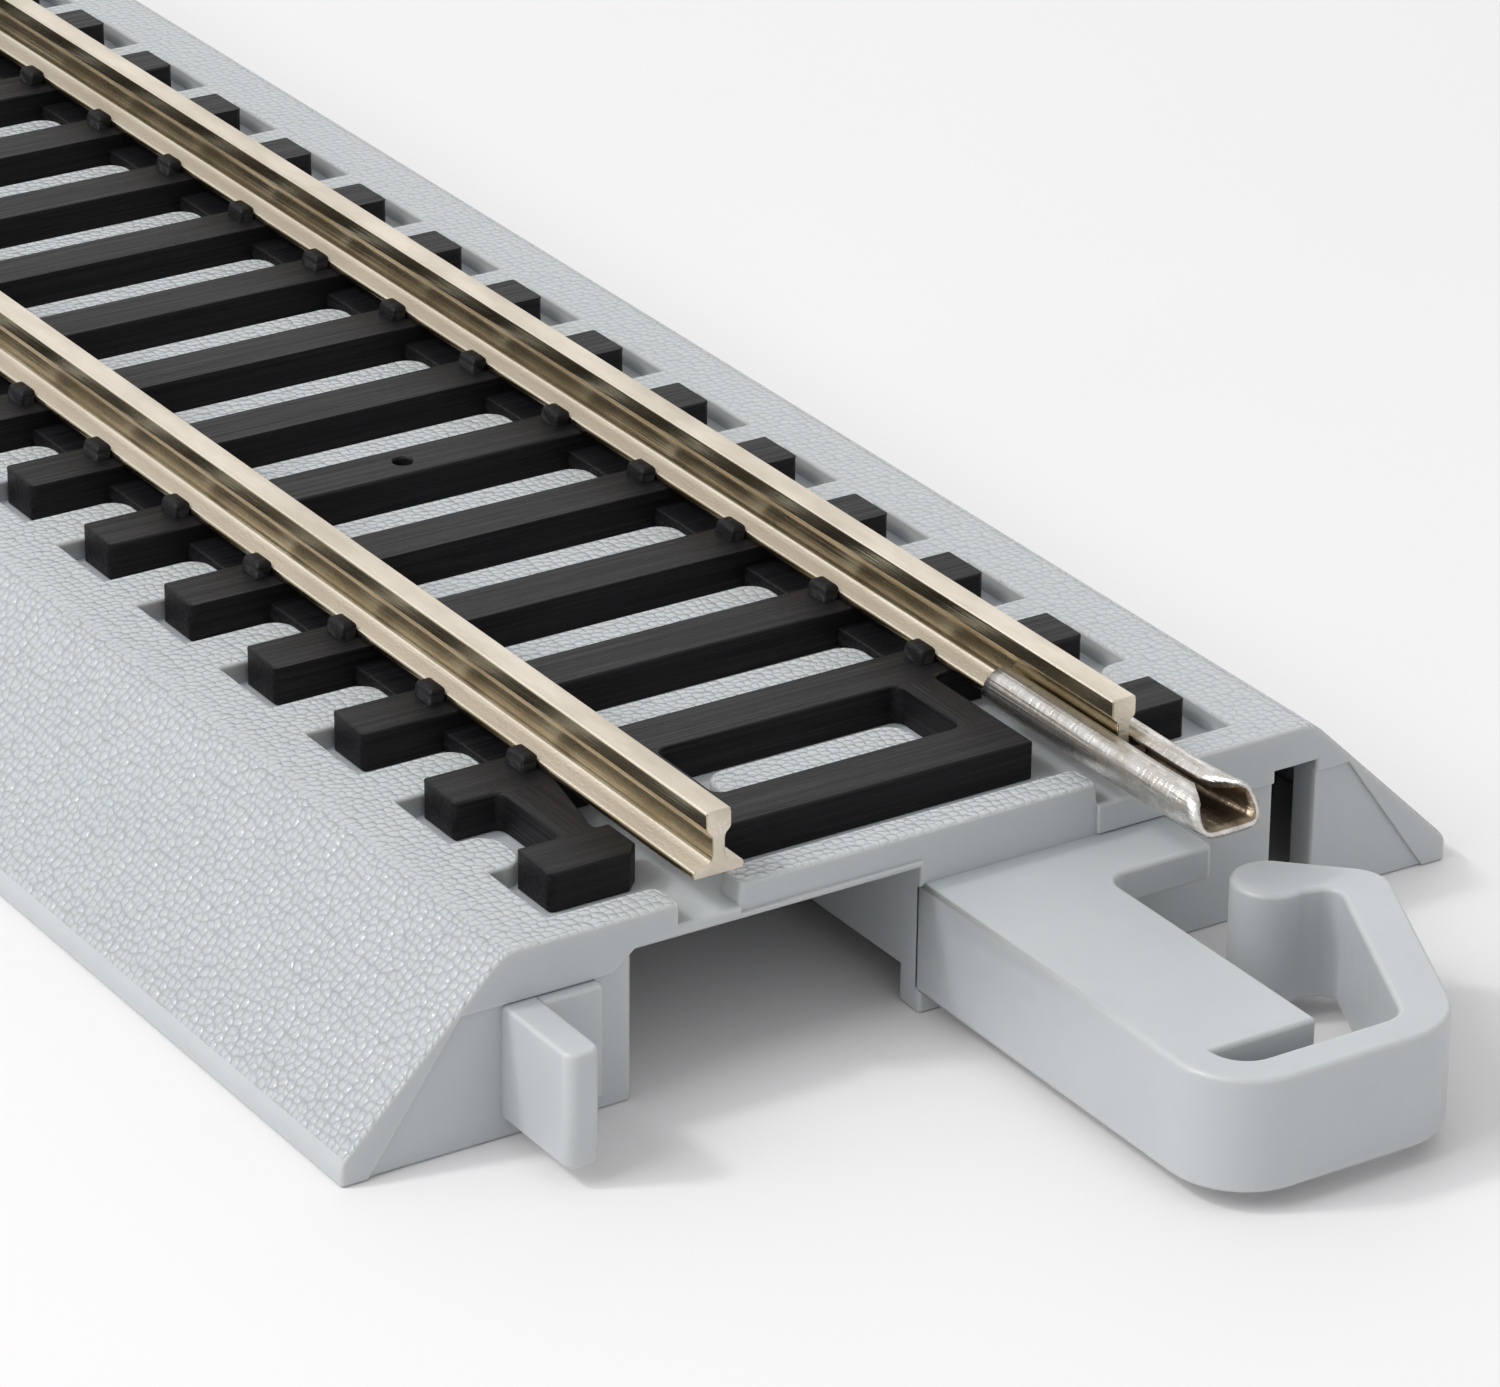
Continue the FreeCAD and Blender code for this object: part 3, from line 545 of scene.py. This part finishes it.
def build_ties():
    between = [FIRST_TIE_X - PITCH * (k + 0.5) for k in range(TIE_NUMBER - 1)]
    bar_ends = [FIRST_TIE_X - TIE_HALF_WIDTH, FIRST_TIE_X - PITCH + TIE_HALF_WIDTH]
    bm = cad_copy("tie_strip", between + bar_ends + [-x for x in bar_ends])

    def choose(edge):
        middle = (edge.verts[0].co + edge.verts[1].co) / 2 / MM
        if middle.z > SPIKE_HIGH:
            return 2.2
        if is_upright(edge) and abs(abs(middle.y) - TIE_END) < 0.05:
            return 3.0
        return 1.0

    mark_round_edges(bm, choose)
    layer = bm.edges.layers.float["bevel_weight_edge"]
    for edge in bm.edges:
        if is_upright(edge) and sharp(edge) and not edge.is_convex \
                and abs(edge.verts[0].co.x) > (bar_ends[1] - 0.1) * MM:
            edge[layer] = 4.0
            edge.smooth = True
    for vert in bm.verts:
        if vert.co.z > (SPIKE_HIGH * MM):
            side = math.copysign(RAIL_SIDE * MM, vert.co.y)
            vert.co.y += math.copysign(0.10 * MM, side - vert.co.y)
    bm.normal_update()
    for f in bm.faces:
        c = f.calc_center_median() / MM
        bar = bar_ends[1] < abs(c.x) < bar_ends[0] and f.normal.z > -0.5
        f.material_index = 1 if bar else 0
    ties = make_object("tie_strip_moulding", bm, [TIE_WOOD, BAR_WOOD])
    round_edges(ties, 0.1)
    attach(ties, "track_bed")
    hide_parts("tie_strip")


build_ties()


# ------------------------------------------------------------------- rails
# Half of the rail section, from the foot up: distance from the middle,
# height above the ties.
RAIL_HALF = [
    (0.00, 0.00), (0.98, 0.00), (1.05, 0.03), (1.08, 0.10), (1.08, 0.22),
    (1.05, 0.29), (0.98, 0.33), (0.60, 0.43), (0.40, 0.51), (0.32, 0.58),
    (0.285, 0.70), (0.275, 0.86), (0.275, 1.40), (0.29, 1.54), (0.345, 1.66),
    (0.43, 1.74), (0.50, 1.80), (0.53, 1.88), (0.535, 1.96), (0.535, 2.40),
    (0.525, 2.46), (0.49, 2.51), (0.43, 2.54), (0.00, 2.54),
]


def build_rail(name, side, node):
    profile = RAIL_HALF[1:-1]
    section = [(y, z) for y, z in profile] + [(-y, z) for y, z in reversed(profile)]
    bm = bmesh.new()
    rows = []
    for x, shrink in ((-END, 0.05), (-END + 0.05, 0), (END - 0.05, 0), (END, 0.05)):
        middle = RAIL_HALF[-1][1] / 2
        row = []
        for y, z in section:
            y -= math.copysign(min(shrink, abs(y)), y)
            z -= math.copysign(min(shrink, abs(z - middle)), z - middle)
            row.append(bm.verts.new((x * MM, (side + y) * MM, (TIE_TOP + z) * MM)))
        rows.append(row)
    for a, b in zip(rows, rows[1:]):
        wall(bm, a, b)
    bm.faces.new(rows[0])
    bm.faces.new(rows[-1])
    rail = make_object(name, bm, [RAIL_SIDES_PAINTED_REFLECTION, RAIL_HEAD])
    # Tops of head and foot and the cut ends take the lighter metal. The sides take the darker brown copy,
    # which is painted reflection.
    for face in rail.data.polygons:
        high = face.center.z / MM - TIE_TOP
        upper = abs(face.normal.z) > 0.5 and (high > 2.3 or high < 0.55)
        face.material_index = 1 if upper or abs(face.normal.x) > 0.9 else 0
    rail.data.set_sharp_from_angle(angle=math.radians(50))
    shade = rail.modifiers.new("shading", "WEIGHTED_NORMAL")
    shade.keep_sharp = True
    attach(rail, "track_bed")
    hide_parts(node)


build_rail("rail_bar_left", RAIL_SIDE, "rail_left")
build_rail("rail_bar_right", -RAIL_SIDE, "rail_right")


# ------------------------------------------------------------ rail joiners
JOINER_OUT, JOINER_ON, SHEET = 6.5, 7.4, 0.2
OPEN_CUT, BACK_CUT = 0.8, 0.5
LIP_CUTS = 0.9, 1.7                            # inner lip, outer lip
LIP_EDGE, LIP_WIDTH, LIP_HIGH = 0.95, 0.55, 0.5
FREE_FROM = 2.3                                # beyond this it never reaches the rail
DRIFT, FLARE, BURR = 0.016, 0.012, 0.09        # bent aside, opened wider, rough cut
STATIONS = 28
# Middle line of the folded sheet from one lip to the other: distance from
# the rail's middle, height above the ties. The inner lip lies flat and the
# outer one is pressed down towards the web.
FOLD = [
    (-0.40, 1.07), (-0.62, 1.08), (-0.86, 1.06), (-1.03, 0.98), (-1.15, 0.82),
    (-1.22, 0.60), (-1.25, 0.34), (-1.23, 0.10), (-1.14, -0.07), (-0.96, -0.16),
    (-0.60, -0.19), (0.0, -0.19), (0.60, -0.19), (0.96, -0.16), (1.14, -0.07),
    (1.24, 0.12), (1.27, 0.38), (1.25, 0.66), (1.17, 0.90), (1.02, 1.05),
    (0.86, 1.06), (0.72, 0.98), (0.57, 0.87), (0.43, 0.77),
]


def build_joiner(name, way, body, node):
    inner, outer = [], []
    for i, (y, z) in enumerate(FOLD):
        ahead = Vector(FOLD[min(i + 1, len(FOLD) - 1)])
        behind = Vector(FOLD[max(i - 1, 0)])
        along = (ahead - behind).normalized()
        out = Vector((along.y, -along.x)) * SHEET / 2
        outer.append((y + out.x, z + out.y))
        inner.append((y - out.x, z - out.y))
    section = outer + inner[::-1]
    low = min(z for y, z in section)
    high = max(z for y, z in section)
    chance = random.Random(4)
    burr = [chance.uniform(-BURR, BURR) if y > 0.4 and z > 0.6 else 0 for y, z in section]
    bm = bmesh.new()
    rows = []
    for k in range(STATIONS + 1):
        row = []
        for (y, z), rough in zip(section, burr):
            rise = (z - low) / (high - low)
            first = -JOINER_ON + BACK_CUT * rise
            lip = max(LIP_EDGE - abs(y), 0) / LIP_WIDTH if z > LIP_HIGH else 0
            last = JOINER_OUT - OPEN_CUT * rise - LIP_CUTS[y > 0] * lip + rough
            x = first + (last - first) * k / STATIONS
            free = max(x - FREE_FROM, 0)
            drift = DRIFT * free ** 2
            flare = FLARE * free ** 2 * (rise if y > 0 else 0)
            row.append(bm.verts.new((way * (END + x) * MM,
                                     way * (RAIL_SIDE + y + drift + flare) * MM,
                                     (TIE_TOP + z) * MM)))
        rows.append(row)
    half = len(outer)
    for a, b in zip(rows, rows[1:]):
        wall(bm, a, b)
    bm.faces.ensure_lookup_table()
    # The inner face of the sheet gets the dark copy of the metal, which is painted shade.
    for i, face in enumerate(bm.faces):
        face.material_index = 1 if half <= i % len(section) < len(section) - 1 else 0
    for row in (rows[0], rows[-1]):
        for i in range(half - 1):
            j = len(row) - 1 - i
            bm.faces.new((row[i], row[i + 1], row[j - 1], row[j]))
    mark_round_edges(bm, widest=0.1)
    joiner = make_object(name, bm, [JOINER, JOINER_INSIDE_PAINTED_SHADE])
    round_edges(joiner, 0.05, 2)
    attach(joiner, body)
    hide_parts(node)


build_joiner("rail_joiner_front", 1, "front_joiner", "joiner_front")
build_joiner("rail_joiner_back", -1, "back_joiner", "joiner_back")


# ------------------------------------------------- floor, light and camera
def build_floor():
    bm = bmesh.new()
    bmesh.ops.create_grid(bm, x_segments=8, y_segments=8, size=2.5)
    mat, tree, shader = new_material("pale_floor", (0.76, 0.745, 0.745), 0.85)
    soft = noise(tree, place(tree, (40, 40, 40)), 1.0, 2)
    tree.links.new(tint(tree, soft, (0.75, 0.735, 0.735), (0.77, 0.755, 0.755)),
                   shader.inputs["Base Color"])
    floor = make_object("floor", bm, [mat])


def area_light(name, place_at, target, size, power, color):
    data = bpy.data.lights.new(name, "AREA")
    data.shape = "RECTANGLE"
    data.size, data.size_y = size
    data.energy = power
    data.color = color
    lamp = bpy.data.objects.new(name, data)
    bpy.context.scene.collection.objects.link(lamp)
    lamp.location = place_at
    aim = Vector(target) - Vector(place_at)
    lamp.rotation_euler = aim.to_track_quat("-Z", "Y").to_euler()
    return lamp


def build_studio():
    world = bpy.data.worlds.new("studio")
    bpy.context.scene.world = world
    world.use_nodes = True
    world.node_tree.nodes["Background"].inputs["Color"].default_value = (0.975, 0.985, 1, 1)
    world.node_tree.nodes["Background"].inputs["Strength"].default_value = 0.76
    near_end = (0.11, 0, 0)
    area_light("window", (0.06, -0.48, 0.46), near_end, (0.4, 0.4), 2.2, (0.98, 0.985, 1))
    area_light("lamp", (-0.06, -0.42, 0.50), near_end, (0.07, 0.07), 1.0, (1, 0.99, 0.98))
    area_light("back_light", (-0.45, 0.40, 0.38), near_end, (0.5, 0.3), 0.30, (1, 0.99, 0.98))
    area_light("side_fill", (0.75, 0.05, 0.40), near_end, (0.5, 0.5), 0.25, (0.94, 0.97, 1))


def build_camera():
    data = bpy.data.cameras.new("camera")
    data.lens, data.sensor_width = 161.55, 36.0
    data.clip_start, data.clip_end = 0.01, 20.0
    camera = bpy.data.objects.new("camera", data)
    bpy.context.scene.collection.objects.link(camera)
    camera.location = (0.29338, -0.12356, 0.11672)
    camera.rotation_euler = [math.radians(a) for a in (64.5097, -0.5820, 57.3439)]
    bpy.context.scene.camera = camera


build_floor()
build_studio()
build_camera()
bpy.context.scene.view_settings.view_transform = "Standard"
